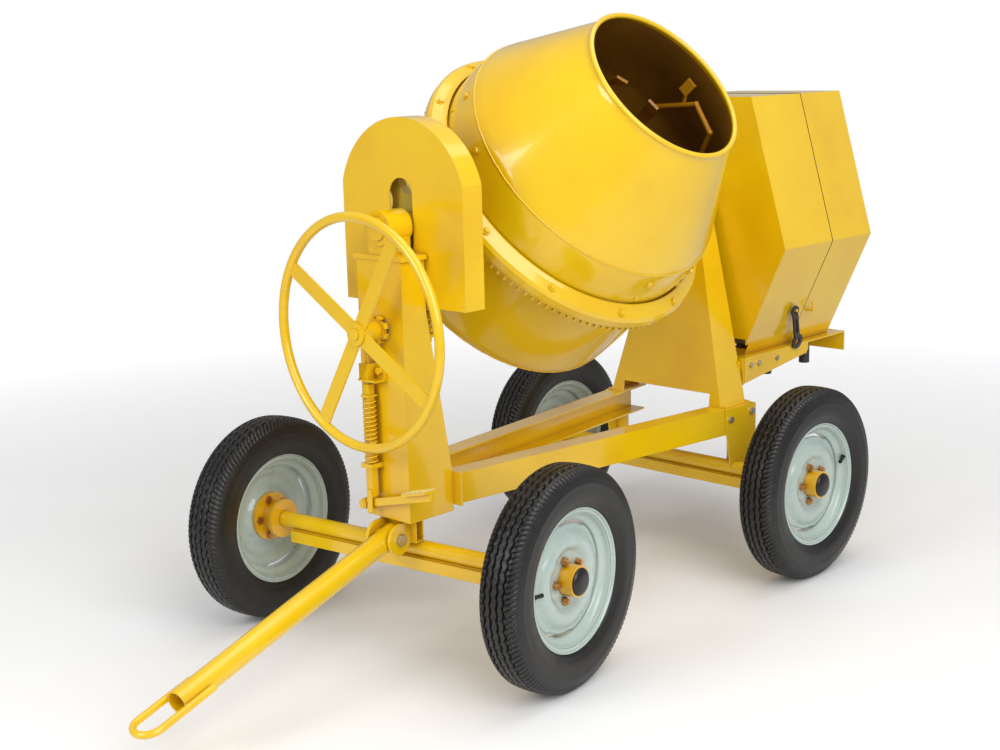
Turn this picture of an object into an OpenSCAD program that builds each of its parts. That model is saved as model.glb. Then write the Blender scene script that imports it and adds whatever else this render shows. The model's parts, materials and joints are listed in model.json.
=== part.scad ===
// Towable tilting-drum concrete mixer on four wheels.
// Units are millimetres. +X points forward to the drawbar, +Y to the side that the drum's mouth faces,
// +Z up. The origin is on the ground under the centre of the whole machine's box.

/* [Wheels and axles] */
// Outer radius of the tyres
tyre_r = 284.5; // [280:0.5:288]
// Width of a tyre at its widest
tyre_w = 120; // [112:1:124]
// How far the tyres flatten where they stand on the ground
tyre_squash = 1; // [0.5:0.1:2]
// Radius of the rims' outer edge
rim_r = 182; // [178:1:184]
// Front axle's place along the machine
front_axle_x = 450; // [440:1:460]
// Distance between the front and rear axles
wheelbase = 1153; // [1140:1:1165]
// Distance from the centre line to the middle of a tyre
track_half = 491; // [485:1:500]
// Steering angle that the front axle is left at, positive to the mouth side
steer_deg = 7.3; // [0:0.1:8]
// Diameter of the round axle bars
axle_bar_d = 44; // [40:1:48]

/* [Drawbar] */
// Distance from the kingpin forward to the drawbar's pin
drawbar_pin_d = 75; // [72:1:80]
// Height of the drawbar's pin
drawbar_pin_z = 324; // [320:1:328]
// Downward slope of the drawbar on its stop
drawbar_slope = 13.85; // [10:0.05:15]
// Distance from the drawbar's pin to the far end of the towing eye
drawbar_len = 895; // [800:5:900]
// Diameter of the drawbar's tube
drawbar_d = 60; // [56:1:62]

/* [Drum] */
// Height of the tilting axis
tilt_z = 1125; // [1120:1:1130]
// Place of the drum's axis along the machine
drum_x = -144; // [-146:1:-142]
// Angle of the drum's axis from upright, to the mouth side
drum_tilt = 50.5; // [40:0.5:60]
// Radius of the drum's round wall
drum_r = 402; // [398:1:404]
// Thickness of the drum's steel sheet
drum_wall = 5; // [4:0.5:6]
// Distance from the tilting axis up the drum's axis to the mouth
mouth_s = 520; // [500:5:540]
// Radius of the mouth's rolled rim, to its middle
mouth_r = 231; // [220:1:240]
// Distance up the axis to the weld between the straight wall and the cone
shoulder_s = 224; // [210:1:235]
// Distance down the axis to the flat of the drum's bottom
bottom_s = 292; // [285:1:295]

/* [Gears] */
// Teeth on the drum's ring gear
ring_teeth = 124; // [124:1:124]
// Teeth on the drive pinion
pinion_teeth = 13; // [13:1:13]
// Module of the drum drive's teeth
ring_module = 7; // [7:1:7]
// Teeth on the tilting gear
tilt_teeth = 66; // [66:1:66]
// Teeth on the handwheel shaft's pinion
hand_teeth = 19; // [19:1:19]
// Module of the tilting gears' teeth
tilt_module = 6; // [6:1:6]

/* [Frame] */
// Width of the front post
post_w = 164; // [156:1:168]
// Front face of the front post
post_front_x = 510; // [509:1:511]
// Bottom of the front post
post_bottom_z = 370; // [369:1:371]
// Top of the front post
post_top_z = 1045; // [1044:1:1046]
// Top of the two long beams
beam_top_z = 474; // [474:1:474]
// Height of the long beams' channel section
beam_h = 82; // [78:1:84]
// Width of the beams' flanges
beam_w = 60; // [50:1:62]
// Angle that each beam spreads outward towards the rear
beam_splay = 7.16; // [7.16:0.01:7.16]
// Width of the tilting gear's guard
guard_w = 440; // [436:1:444]
// Radius of the guard's arched top
guard_r = 229; // [226:1:232]

/* [Handwheel] */
// Outer diameter of the handwheel
handwheel_d = 610; // [590:5:620]
// Diameter of the handwheel's rim tube
handwheel_tube = 25; // [22:1:27]
// Plane of the handwheel
handwheel_x = 588; // [586:1:590]
// Angle of the first spoke from level
spoke_deg = 59; // [55:1:62]

/* [Engine cover] */
// Front of the engine cover
cover_front_x = -836; // [-838:1:-834]
// Joint between the cover's halves
cover_seam_x = -1102; // [-1104:1:-1100]
// Rear of the engine cover
cover_rear_x = -1331; // [-1335:1:-1325]
// Top of the engine cover
cover_top_z = 1397; // [1394:1:1400]
// Height of the cover's widest corners
cover_mid_z = 945; // [940:1:950]
// Half the width of the cover at its top
cover_top_half = 195; // [190:1:200]
// Half the width of the cover at its widest corners
cover_mid_half = 322; // [318:1:326]

/* [Hidden] */
$fn = 64;
WHEELS = ["front_left", "front_right", "rear_left", "rear_right"];

YELLOW = "gold";
BLACK = "dimgray";
MINT = "lightgray";
STEEL = "silver";

axle_z = tyre_r - tyre_squash;
rear_axle_x = front_axle_x - wheelbase;
bead_r = 168;
rim_half = 43;
hub_r = 40;
stub_r = 20;
fit_gap = 0.05;
disc_z = 16;
nut_pcd_r = 54;
NUTS = 5;

// Axle beams: an angle section under each round bar.
angle_leg = 50;
angle_t = 6;
angle_top_z = axle_z - axle_bar_d / 2;
angle_half = 400;

// Steering head
head_z0 = axle_z + axle_bar_d / 2 + 0.5;
head_z1 = 366;
ear_r = 41;
ear_in = 32;
ear_t = 10;
kingpin_r = 14;

// Front post and its bearing
post_t = 6;
post_back_x = 354;
post_guard_x = 428;
bearing_r = 45;
trunnion_r = 30;
guard_x0 = 356;
guard_x1 = 424.5;
guard_t = 3;
guard_bottom_z = 921;
guard_arch_z = 1168;
slot_half = 42;
slot_top_z = 1245;
lower_shaft_z = tilt_z - (tilt_teeth + hand_teeth) * tilt_module / 2;
shaft_r = 15;
gear_x0 = 370;
gear_x1 = 395;

// Beams
beam_x0 = 348;
beam_y = 103;
beam_t = 5;
beam_rear_x = -795;
post_plate_x = 348;

// Rear stand
stand_foot_y = 212;
stand_top_y = 65;
stand_foot_x = -662;
stand_top_x = -740;
stand_back_foot_x = -790;
stand_back_top_x = -815;
stand_top_z = 1065;
stand_t = 6;
rear_trunnion_r = 35;
pinion_shaft_r = 20;

// Yoke, in the drum's own frame
arm_in = 460;
arm_out = 494;
arm_w = 80;
arm_top_s = 95;
arm_knee_s = -226;
yoke_bottom_s = -412;
yoke_low_half = 326;
spindle_r = 25;

// Ring gear and its guard, in the drum's own frame
ring_pitch_r = ring_teeth * ring_module / 2;
pinion_pitch_r = pinion_teeth * ring_module / 2;
ring_in_r = ring_pitch_r - 12;
ring_out_r = ring_pitch_r + 11;
tooth_tip_s = pinion_pitch_r - 5;
tooth_root_s = pinion_pitch_r + 8.5;
guard_ring_out = 450;
guard_ring_s0 = 64;
guard_ring_s1 = 112;

// Platform
tray_half = 200;
tray_top_z = 604;
tray_x0 = -806;
tray_x1 = -1386;
tray_t = 5;

// Engine cover
cover_t = 3;
cover_bottom_z = tray_top_z;
cover_bottom_half = 165;
cover_panel_bottom = 655;
latch_ring_x = -1082;
latch_ring_z = 617;
latch_hook_x = -1028;
latch_hook_z = 726;
cover_hinge_x = cover_rear_x - 10;
cover_hinge_z = tray_top_z + 10;
pulley_x0 = -895;
pulley_x1 = -870;
drum_pulley_r = 150;
engine_pulley_r = 45;
engine_pulley_z = 790;

// Locking gear on the front post
lock_y = -33;
lock_x = 531;
lock_disc_r = 36;
lock_disc_x0 = 516;
lock_disc_x1 = 530;
pedal_pivot_y = -66;
pedal_pivot_z = 404;
pedal_pin_r = 8;
lock_bar_w = 20;
lock_pin_r = 6;
lock_bar_bottom_z = 431;
lock_hook_z = 397.2;
pedal_rise = 14;
spring_z0 = 520;
spring_z1 = 694;
spring_r = 17;
spring_wire = 4;
NOTCHES = 8;

// Places

module at_kingpin() {
  translate([front_axle_x, 0, 0])
    rotate([0, 0, steer_deg])
      children();
}

// Wheel frame: +Z points outward from the machine.
module at_wheel(which) {
  front = which == "front_left" || which == "front_right";
  side = (which == "front_left" || which == "rear_left") ? 1 : -1;
  if (front)
    at_kingpin()
      translate([0, side * track_half, axle_z])
        rotate([-90 * side, 0, 0])
          children();
  else
    translate([rear_axle_x, side * track_half, axle_z])
      rotate([-90 * side, 0, 0])
        children();
}

// Drum frame: origin on the tilting axis, +Z along the drum's axis to the mouth.
module at_drum() {
  translate([drum_x, 0, tilt_z])
    rotate([-drum_tilt, 0, 0])
      children();
}

// Drawbar frame: origin on the drawbar's pin, +X along the drawbar.
module at_drawbar() {
  at_kingpin()
    translate([drawbar_pin_d, 0, drawbar_pin_z])
      rotate([0, drawbar_slope, 0])
        children();
}

// Beam frame: origin at the outer web's front end, +X forward along the beam, +Y outward.
module at_beam(side) {
  mirror([0, side < 0 ? 1 : 0, 0])
    translate([beam_x0, beam_y, 0])
      rotate([0, 0, -beam_splay])
        children();
}

// Shapes

// Cylinder along X from x0 to x1.
module rod_x(x0, x1, r) {
  translate([x0, 0, 0])
    rotate([0, 90, 0])
      cylinder(r = r, h = x1 - x0);
}

// Cylinder along Y from y0 to y1.
module rod_y(y0, y1, r) {
  translate([0, y0, 0])
    rotate([-90, 0, 0])
      cylinder(r = r, h = y1 - y0);
}

// Box from its lowest corner a to its highest corner b.
module block(a, b) {
  translate(a)
    cube(b - a);
}

// Hexagonal head or nut along Z, on the plane z = 0.
module hex(r, h) {
  cylinder(r = r, h = h, $fn = 6);
}

// A point on an involute of base radius rb, unwound by t degrees and turned by a.
function involute(rb, t, a) = [
  rb * (cos(t + a) + t * PI / 180 * sin(t + a)),
  rb * (sin(t + a) - t * PI / 180 * cos(t + a))];

// Spur gear outline with true involute flanks. slack is taken off each tooth's width.
module gear_outline(teeth, m, slack, tip_cut = 0) {
  rp = teeth * m / 2;
  rb = rp * cos(20);
  ra = rp + m - tip_cut;
  rf = rp - 1.25 * m;
  t_tip = sqrt(ra * ra / (rb * rb) - 1) * 180 / PI;
  t_pitch = tan(20) * 180 / PI - 20;
  half = 90 / teeth - slack / rp * 90 / PI + t_pitch;
  steps = 6;
  for (i = [0 : teeth - 1])
    rotate([0, 0, i * 360 / teeth])
      polygon(concat(
        [[(rf - 2) * cos(-half), (rf - 2) * sin(-half)]],
        [for (k = [0 : steps]) involute(rb, t_tip * k / steps, -half)],
        [for (k = [steps : -1 : 0]) let (p = involute(rb, t_tip * k / steps, -half)) [p[0], -p[1]]],
        [[(rf - 2) * cos(half), (rf - 2) * sin(half)]]));
  circle(r = rf, $fn = 180);
}

// Wheels

module tyre_solid() {
  w = tyre_w / 2;
  rotate_extrude($fn = 128)
    polygon(concat(
      [[bead_r + 0.2, -rim_half + 5.4], [rim_r + 0.5, -rim_half + 4.6], [rim_r + 0.5, -rim_half - 0.5],
        [rim_r + 8, -rim_half - 3]],
      [for (a = [-80 : 20 : 0]) [232 + 24 * sin(a) * 1.6, -w + 7 * (1 - cos(a))]],
      [[262, -w + 5], [274, -w + 10], [281, -w + 18], [tyre_r, -w + 34]],
      [[tyre_r, w - 34], [281, w - 18], [274, w - 10], [262, w - 5]],
      [for (a = [0 : -20 : -80]) [232 + 24 * sin(a) * 1.6, w - 7 * (1 - cos(a))]],
      [[rim_r + 8, rim_half + 3], [rim_r + 0.5, rim_half + 0.5], [rim_r + 0.5, rim_half - 4.6],
        [bead_r + 0.2, rim_half - 5.4]],
      [[bead_r + 0.2, rim_half - 20], [rim_r + 8, rim_half - 9], [232, w - 12], [262, w - 17]],
      [[269, w - 30], [269, -w + 30]],
      [[262, -w + 17], [232, -w + 12], [rim_r + 8, -rim_half + 9], [bead_r + 0.2, -rim_half + 20]]));
}

module tyre(which) {
  side = (which == "front_left" || which == "rear_left") ? 1 : -1;
  x = (which == "front_left" || which == "front_right") ? front_axle_x : rear_axle_x;
  color(BLACK)
    difference() {
      at_wheel(which) tyre_solid();
      block([x - 200, side * track_half - 200, -50], [x + 200, side * track_half + 200, 0]);
    }
}

module rim(which) {
  color(MINT)
    at_wheel(which)
      difference() {
        union() {
          rotate_extrude($fn = 128)
            polygon([
              [rim_r, rim_half], [rim_r, rim_half - 4], [bead_r, rim_half - 5], [bead_r, 22],
              [150, 14], [150, -14], [bead_r, -22], [bead_r, -rim_half + 5],
              [rim_r, -rim_half + 4], [rim_r, -rim_half], [bead_r - 4, -rim_half],
              [bead_r - 4, -24], [146, -16], [146, 16], [bead_r - 4, 24], [bead_r - 4, rim_half]]);
          rotate_extrude($fn = 128)
            polygon([
              [146, 8], [140, 12], [128, 12], [112, 26], [92, 28], [76, 20], [70, disc_z],
              [hub_r + 0.5, disc_z], [hub_r + 0.5, disc_z - 4], [72, disc_z - 4], [78, 16],
              [92, 24], [111, 22], [127, 8], [146, 4]]);
        }
        for (i = [0 : NUTS - 1])
          rotate([0, 0, i * 360 / NUTS])
            translate([nut_pcd_r, 0, 0])
              cylinder(r = 7, h = 40);
      }
}

module hub(which) {
  color(YELLOW)
    at_wheel(which)
      difference() {
        union() {
          translate([0, 0, -46]) cylinder(r = hub_r, h = 100);
          translate([0, 0, disc_z - 16]) cylinder(r = 68, h = 12);
          translate([0, 0, -46]) cylinder(r = 54, h = 12);
        }
        translate([0, 0, -47]) cylinder(r = stub_r + fit_gap, h = 99);
        translate([0, 0, 46]) cylinder(r = 28, h = 9);
        for (i = [0 : NUTS - 1])
          rotate([0, 0, i * 360 / NUTS])
            translate([nut_pcd_r, 0, disc_z - 17])
              cylinder(r = 6.5, h = 14);
      }
}

module hub_cap(which) {
  color(BLACK)
    at_wheel(which)
      rotate_extrude($fn = 96)
        polygon(concat(
          [[0, 48], [28, 48], [28, 54], [31, 54], [31, 60]],
          [for (a = [15 : 15 : 75]) [31 * cos(a), 60 + 7 * sin(a)]],
          [[0, 67]]));
}

module wheel_nuts(which) {
  color(STEEL)
    at_wheel(which)
      for (i = [0 : NUTS - 1])
        rotate([0, 0, i * 360 / NUTS])
          translate([nut_pcd_r, 0, disc_z]) {
            hex(11, 11);
            translate([0, 0, -17]) cylinder(r = 6.5, h = 18);
            translate([0, 0, -23]) hex(11, 7);
            translate([0, 0, 10.5]) cylinder(r = 6, h = 6);
          }
}

// Axles and steering

// Round bar with a stub at each end, lying on an angle section; drawn along Y about x = 0.
module axle() {
  stub_from = track_half - 48;
  stub_to = track_half + 44;
  difference() {
    union() {
      translate([0, 0, axle_z]) {
        rod_y(-stub_from, stub_from, axle_bar_d / 2);
        rod_y(-stub_to, stub_to, stub_r);
      }
      block([-25, -angle_half, angle_top_z - angle_t], [25, angle_half, angle_top_z + 3]);
      block([25 - angle_t, -angle_half, angle_top_z - 32], [25, angle_half, angle_top_z]);
    }
    block([-26, -500, angle_top_z], [-14, 500, angle_top_z + 4]);
    block([14, -500, angle_top_z], [26, 500, angle_top_z + 4]);
  }
}

module front_axle() {
  color(YELLOW)
    at_kingpin()
      axle();
}

module rear_axle() {
  color(YELLOW)
    translate([rear_axle_x, 0, 0])
      axle();
}

// Head over the axle: a boss round the kingpin, a short open box tube and two ears for the drawbar.
module steering_head() {
  color(YELLOW)
    at_kingpin()
      difference() {
        union() {
          translate([0, 0, head_z0]) cylinder(r = 30, h = head_z1 - head_z0);
          block([2, -60, head_z0], [34, 60, head_z1]);
          block([-24, -40, head_z0], [24, 40, head_z0 + 5]);
          for (s = [-1, 1])
            translate([drawbar_pin_d, 0, drawbar_pin_z]) {
              rod_y(s > 0 ? ear_in : -ear_in - ear_t, s > 0 ? ear_in + ear_t : -ear_in, ear_r);
              block([33 - drawbar_pin_d, s > 0 ? ear_in : -ear_in - ear_t, -17.5],
                [0, s > 0 ? ear_in + ear_t : -ear_in, ear_r]);
            }
        }
        translate([0, 0, head_z0 + 5]) cylinder(r = kingpin_r + fit_gap, h = 100);
        for (s = [-1, 1])
          block([6, s > 0 ? 32 : -61, head_z0 + 4], [30, s > 0 ? 61 : -32, head_z1 - 4]);
        translate([drawbar_pin_d, 0, drawbar_pin_z]) rod_y(-60, 60, 10);
      }
}

module drawbar_pin() {
  color(STEEL)
    at_kingpin()
      translate([drawbar_pin_d, 0, drawbar_pin_z]) {
        rod_y(-ear_in - ear_t - 14, ear_in + ear_t + 1, 10);
        translate([0, ear_in + ear_t, 0]) rotate([-90, 0, 0]) hex(17, 11);
        translate([0, -ear_in - ear_t, 0]) rotate([90, 0, 0]) hex(17, 11);
      }
}

module drawbar_tube() {
  bore_r = drawbar_d / 2 - 4;
  tube_end = drawbar_len - 130;
  color(YELLOW)
    at_drawbar()
      difference() {
        union() {
          rod_x(-22, tube_end, drawbar_d / 2);
          rod_y(-ear_in + 0.6, ear_in - 0.6, 20);
        }
        rod_x(40, tube_end + 1, bore_r);
        rod_y(-50, 50, 10 + fit_gap);
      }
}

// Long loop of round bar, welded along both sides of the drawbar's tube.
module towing_eye() {
  bar_r = 9;
  half = drawbar_d / 2 + bar_r;
  bend_x = drawbar_len - half - bar_r;
  start_x = drawbar_len - 210;
  color(YELLOW)
    at_drawbar() {
      for (s = [-1, 1])
        translate([0, s * half, 0])
          rod_x(start_x, bend_x, bar_r);
      translate([bend_x, 0, 0])
        rotate([0, 0, -90])
          rotate_extrude(angle = 180, $fn = 96)
            translate([half, 0])
              circle(r = bar_r);
    }
}

module kingpin() {
  color(STEEL)
    translate([front_axle_x, 0, 0]) {
      translate([0, 0, head_z0 + 6]) cylinder(r = kingpin_r, h = post_bottom_z + post_t - head_z0 - 5);
      translate([0, 0, post_bottom_z + post_t]) hex(30, 20);
      translate([0, 0, head_z1 + 0.5]) cylinder(r = 28, h = post_bottom_z - head_z1 - 0.5);
    }
}

// Frame

// Side outline of the post, in X and Z.
function post_outline(inset) = [
  [post_front_x - inset, post_bottom_z], [post_front_x - inset, post_top_z],
  [post_guard_x, post_top_z], [post_guard_x, 912], [post_back_x, 480], [post_back_x, post_bottom_z]];

module front_post() {
  half = post_w / 2;
  color(YELLOW)
    difference() {
      union() {
        for (s = [-1, 1])
          translate([0, s > 0 ? half : -half + post_t, 0])
            rotate([90, 0, 0])
              linear_extrude(post_t)
                polygon(post_outline(0));
        block([post_front_x - post_t, -half, post_bottom_z], [post_front_x, half, post_top_z]);
        block([post_back_x, -half, post_bottom_z], [post_front_x, half, post_bottom_z + post_t]);
        block([post_back_x - post_t, -112, 388], [post_back_x, 112, 478]);
        block([442, -half, 830], [450, half, 910]);
      }
      translate([front_axle_x, 0, post_bottom_z - 1]) cylinder(r = kingpin_r, h = post_t + 2);
      translate([0, 0, lower_shaft_z]) rod_x(430, 520, 22);
    }
}

// Plummer block on top of the front post.
module front_bearing() {
  color(YELLOW)
    difference() {
      union() {
        block([post_guard_x + 0.5, -post_w / 2, post_top_z], [post_front_x, post_w / 2, post_top_z + 14]);
        block([post_guard_x + 4, -38, post_top_z + 14], [post_front_x - 4, 38, tilt_z - 20]);
        translate([0, 0, tilt_z]) rod_x(post_guard_x + 1, post_front_x - 1, bearing_r);
      }
      translate([0, 0, tilt_z]) rod_x(post_guard_x - 10, post_front_x + 10, trunnion_r + fit_gap);
    }
}

module rear_bearing() {
  color(YELLOW)
    difference() {
      union() {
        block([stand_back_top_x, -stand_top_y + 2, stand_top_z + stand_t],
          [stand_top_x, stand_top_y - 2, stand_top_z + stand_t + 12]);
        block([stand_back_top_x + 6, -36, stand_top_z + stand_t + 12],
          [stand_top_x - 6, 36, tilt_z - 20]);
        translate([0, 0, tilt_z]) rod_x(stand_back_top_x, stand_top_x, 50);
      }
      translate([0, 0, tilt_z])
        rod_x(stand_back_top_x - 10, stand_top_x + 10, rear_trunnion_r + fit_gap);
    }
}

module beam(side) {
  color(YELLOW)
    difference() {
      at_beam(side) {
        translate([-1180, -beam_t, beam_top_z - beam_h]) cube([1230, beam_t, beam_h]);
        translate([-1180, -beam_w, beam_top_z - beam_t]) cube([1230, beam_w, beam_t]);
        translate([-1180, -beam_w, beam_top_z - beam_h]) cube([1230, beam_w, beam_t]);
      }
      block([beam_x0, -400, 300], [beam_x0 + 200, 400, 600]);
      block([beam_rear_x - 200, -400, 300], [beam_rear_x, 400, 600]);
    }
}

module left_beam() { beam(1); }

module right_beam() { beam(-1); }

// Side plates between the beams and the rear axle, each with an inner stiffener.
module rear_gussets() {
  along = 1010;
  plate_t = 6;
  color(YELLOW)
    for (side = [-1, 1])
      difference() {
        at_beam(side) {
          translate([0, plate_t, 0])
            rotate([90, 0, 0])
              linear_extrude(plate_t)
                polygon([
                  [-along - 4, beam_top_z], [-along - 4, beam_top_z - beam_h + 40],
                  [-along - 38, angle_top_z - 26], [-along - 66, angle_top_z - 26],
                  [-along - 138, beam_top_z - beam_h], [-along - 138, beam_top_z]]);
          translate([-along - 66, -42, angle_top_z + 18])
            cube([plate_t, 42, beam_top_z - beam_h - angle_top_z - 18]);
        }
        translate([rear_axle_x, 0, 0]) {
          block([-25, -500, angle_top_z - 60], [25, 500, angle_top_z]);
          block([-14.5, -500, angle_top_z - 1], [14.5, 500, angle_top_z + 3.5]);
          translate([0, 0, axle_z]) rod_y(-500, 500, axle_bar_d / 2 + 0.5);
        }
      }
}

// Half-width of the rear stand at height z.
function stand_y(z) = stand_foot_y + (stand_top_y - stand_foot_y) * (z - beam_top_z) / (stand_top_z - beam_top_z);

// Pressed stand: a leaning front web, two side flanges that run back, a top plate and a rear plate.
module stand_solid(shrink, back) {
  rise = stand_top_z - beam_top_z;
  lean = atan2(stand_foot_x - stand_top_x, rise);
  difference() {
    rotate([90, 0, 90])
      translate([0, 0, stand_back_top_x - 40])
        linear_extrude(220)
          polygon([
            [-stand_foot_y + shrink, beam_top_z - (shrink > 0 ? 5 : 0)],
            [stand_foot_y - shrink, beam_top_z - (shrink > 0 ? 5 : 0)],
            [stand_top_y - shrink, stand_top_z + (shrink > 0 ? 5 : 0)],
            [-stand_top_y + shrink, stand_top_z + (shrink > 0 ? 5 : 0)]]);
    translate([stand_foot_x - shrink, -400, beam_top_z])
      rotate([0, -lean, 0])
        translate([0, 0, -100]) cube([300, 800, rise + 300]);
    if (back)
      translate([stand_back_foot_x, -400, beam_top_z])
        rotate([0, -atan2(stand_back_foot_x - stand_back_top_x, rise), 0])
          translate([-300, 0, -100]) cube([300, 800, rise + 300]);
  }
}

module rear_stand() {
  color(YELLOW)
    difference() {
      union() {
        difference() {
          stand_solid(0, true);
          stand_solid(stand_t, false);
        }
        block([stand_back_top_x - 1, -stand_top_y - 1, stand_top_z - 1],
          [stand_top_x + 1, stand_top_y + 1, stand_top_z + stand_t]);
        block([tray_x0, -197, 520], [tray_x0 + 6, 197, tray_top_z]);
        for (s = [-1, 1])
          block([tray_x0 + 3, s > 0 ? 177 : -187, 532], [stand_back_foot_x + 4, s > 0 ? 187 : -177, 596]);
        for (s = [-1, 1])
          block([stand_back_foot_x + 2, s > 0 ? 172 : -230, beam_top_z],
            [stand_foot_x - 3, s > 0 ? 230 : -172, beam_top_z + 5]);
      }
      block([-720, -168, beam_top_z - 1], [-600, 168, 512]);
    }
}

module rear_axle_place() {
  translate([rear_axle_x, 0, 0]) children();
}

module gear_guard() {
  half = guard_w / 2;
  shoulder_z = guard_arch_z + sqrt(guard_r * guard_r - half * half);
  color(YELLOW)
    difference() {
      rotate([90, 0, 90])
        translate([0, 0, guard_x0])
          linear_extrude(guard_x1 - guard_x0)
            intersection() {
              union() {
                translate([0, guard_arch_z]) circle(r = guard_r, $fn = 160);
                translate([-half, guard_bottom_z]) square([guard_w, guard_arch_z - guard_bottom_z]);
              }
              translate([-half, guard_bottom_z]) square([guard_w, 600]);
            }
      rotate([90, 0, 90])
        translate([0, 0, guard_x0 - 1])
          linear_extrude(guard_x1 - guard_x0 + 1 - guard_t)
            intersection() {
              union() {
                translate([0, guard_arch_z]) circle(r = guard_r - guard_t, $fn = 160);
                translate([-half, guard_bottom_z - 1]) square([guard_w, guard_arch_z - guard_bottom_z + 1]);
              }
              translate([-half + guard_t, guard_bottom_z - 1]) square([guard_w - 2 * guard_t, 600]);
            }
      block([guard_x1 - 10, -slot_half, tilt_z - 40], [guard_x1 + 1, slot_half, slot_top_z - slot_half]);
      translate([0, 0, slot_top_z - slot_half]) rod_x(guard_x1 - 10, guard_x1 + 1, slot_half);
      translate([0, 0, tilt_z - 40]) rod_x(guard_x1 - 10, guard_x1 + 1, slot_half);
    }
}

// Tray for the engine: tapered side plates, rear plate, two cross angles and two engine rails.
module platform() {
  color(YELLOW)
    union() {
      for (s = [-1, 1]) {
        translate([0, s > 0 ? tray_half : -tray_half + tray_t, 0])
          rotate([90, 0, 0])
            linear_extrude(tray_t)
              polygon([
                [tray_x0, tray_top_z], [tray_x0, 524], [-1152, 566], [-1164, 578], [-1164, tray_top_z]]);
        block([tray_x1, s > 0 ? tray_half - 40 : -tray_half, tray_top_z - tray_t],
          [tray_x0, s > 0 ? tray_half : -tray_half + 40, tray_top_z]);
        block([tray_x1 + 30, s > 0 ? 132 : -138, tray_top_z - 1], [cover_hinge_x + 8, s > 0 ? 138 : -132, 620]);
        translate([cover_hinge_x, 0, cover_hinge_z]) rod_y(s > 0 ? 70 : -135, s > 0 ? 135 : -70, 4);
      }
      block([tray_x0 - tray_t, -tray_half, 524], [tray_x0, tray_half, tray_top_z]);
      block([tray_x1, -tray_half, 539], [tray_x1 + tray_t, tray_half, tray_top_z]);
      for (x = [-930, -1150, tray_x1 + 60])
        block([x - 40, -tray_half, tray_top_z - tray_t], [x, tray_half, tray_top_z]);
      for (x = [-930, -1150])
        block([x - tray_t, -tray_half, tray_top_z - 40], [x, tray_half, tray_top_z]);
    }
}

module rubber_mounts() {
  color(BLACK)
    for (x = [-950, -1170])
      for (s = [-1, 1]) {
        translate([x, s * 90, tray_top_z]) cylinder(r = 18, h = 16);
        translate([x - 14, s * 172, 527]) cylinder(r = 17, h = tray_top_z - tray_t - 527);
      }
}

// Petrol engine: crankcase, finned cylinder, tank, air filter and crankshaft.
module engine() {
  z0 = tray_top_z + 16;
  color(STEEL)
    difference() {
      union() {
        block([-1190, -120, z0], [-930, 120, z0 + 12]);
        block([-1150, -95, z0 + 12], [-935, 95, z0 + 190]);
        translate([0, 0, engine_pulley_z]) rod_x(-1180, -920, 85);
        for (i = [0 : 6])
          block([-1120, -70 - 1, z0 + 190 + i * 14], [-980, 70, z0 + 198 + i * 14]);
        block([-1095, -50, z0 + 180], [-1005, 50, z0 + 300]);
        block([-1180, -150, z0 + 300], [-960, 90, z0 + 400]);
        translate([-1050, -60, z0 + 400]) cylinder(r = 28, h = 14);
        block([-1110, 96, z0 + 210], [-1010, 170, z0 + 300]);
        block([-1080, 50, z0 + 230], [-1040, 100, z0 + 270]);
      }
      translate([0, 0, engine_pulley_z]) rod_x(-980, -900, 12.5 + fit_gap);
    }
}

module engine_pulley() {
  color(STEEL)
    translate([0, 0, engine_pulley_z])
      union() {
        rod_x(-975, pulley_x1, 12.5);
        rotate([0, 90, 0])
          translate([0, 0, pulley_x0])
            rotate_extrude($fn = 96)
              polygon([[0, 0], [engine_pulley_r, 0], [engine_pulley_r, 3], [engine_pulley_r - 12, 9],
                [engine_pulley_r - 12, 16], [engine_pulley_r, 22], [engine_pulley_r, 25], [0, 25]]);
      }
}

module drum_pulley() {
  color(STEEL)
    translate([0, 0, tilt_z])
      difference() {
        rotate([0, 90, 0])
          translate([0, 0, pulley_x0])
            rotate_extrude($fn = 128)
              polygon([[pinion_shaft_r, -8], [34, -8], [34, 8], [120, 8], [120, 0],
                [drum_pulley_r, 0], [drum_pulley_r, 3], [drum_pulley_r - 12, 9],
                [drum_pulley_r - 12, 16], [drum_pulley_r, 22], [drum_pulley_r, 25], [120, 25],
                [120, 17], [34, 17], [34, 33], [pinion_shaft_r, 33]]);
        for (i = [0 : 5])
          rotate([i * 60, 0, 0])
            translate([0, 78, 0])
              rod_x(pulley_x0 - 1, pulley_x1 + 1, 26);
      }
}

// Drive belt round both pulleys, clear of their grooves' floors.
module drive_belt() {
  gap = 1;
  r_small = engine_pulley_r - 12 + gap;
  r_big = drum_pulley_r - 12 + gap;
  dist = tilt_z - engine_pulley_z;
  lean = asin((r_big - r_small) / dist);
  x_mid = (pulley_x0 + pulley_x1) / 2;
  t = 7;
  color(BLACK)
    rotate([90, 0, 90])
      translate([0, 0, x_mid - 3])
        linear_extrude(6)
          difference() {
            belt_outline(r_small + t, r_big + t, dist, lean);
            belt_outline(r_small, r_big, dist, lean);
          }
}

module belt_outline(r_low, r_high, dist, lean) {
  translate([0, engine_pulley_z]) circle(r = r_low, $fn = 96);
  translate([0, tilt_z]) circle(r = r_high, $fn = 128);
  polygon([
    [r_low * cos(lean), engine_pulley_z - r_low * sin(lean)],
    [r_high * cos(lean), tilt_z - r_high * sin(lean)],
    [-r_high * cos(lean), tilt_z - r_high * sin(lean)],
    [-r_low * cos(lean), engine_pulley_z - r_low * sin(lean)]]);
}

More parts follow.
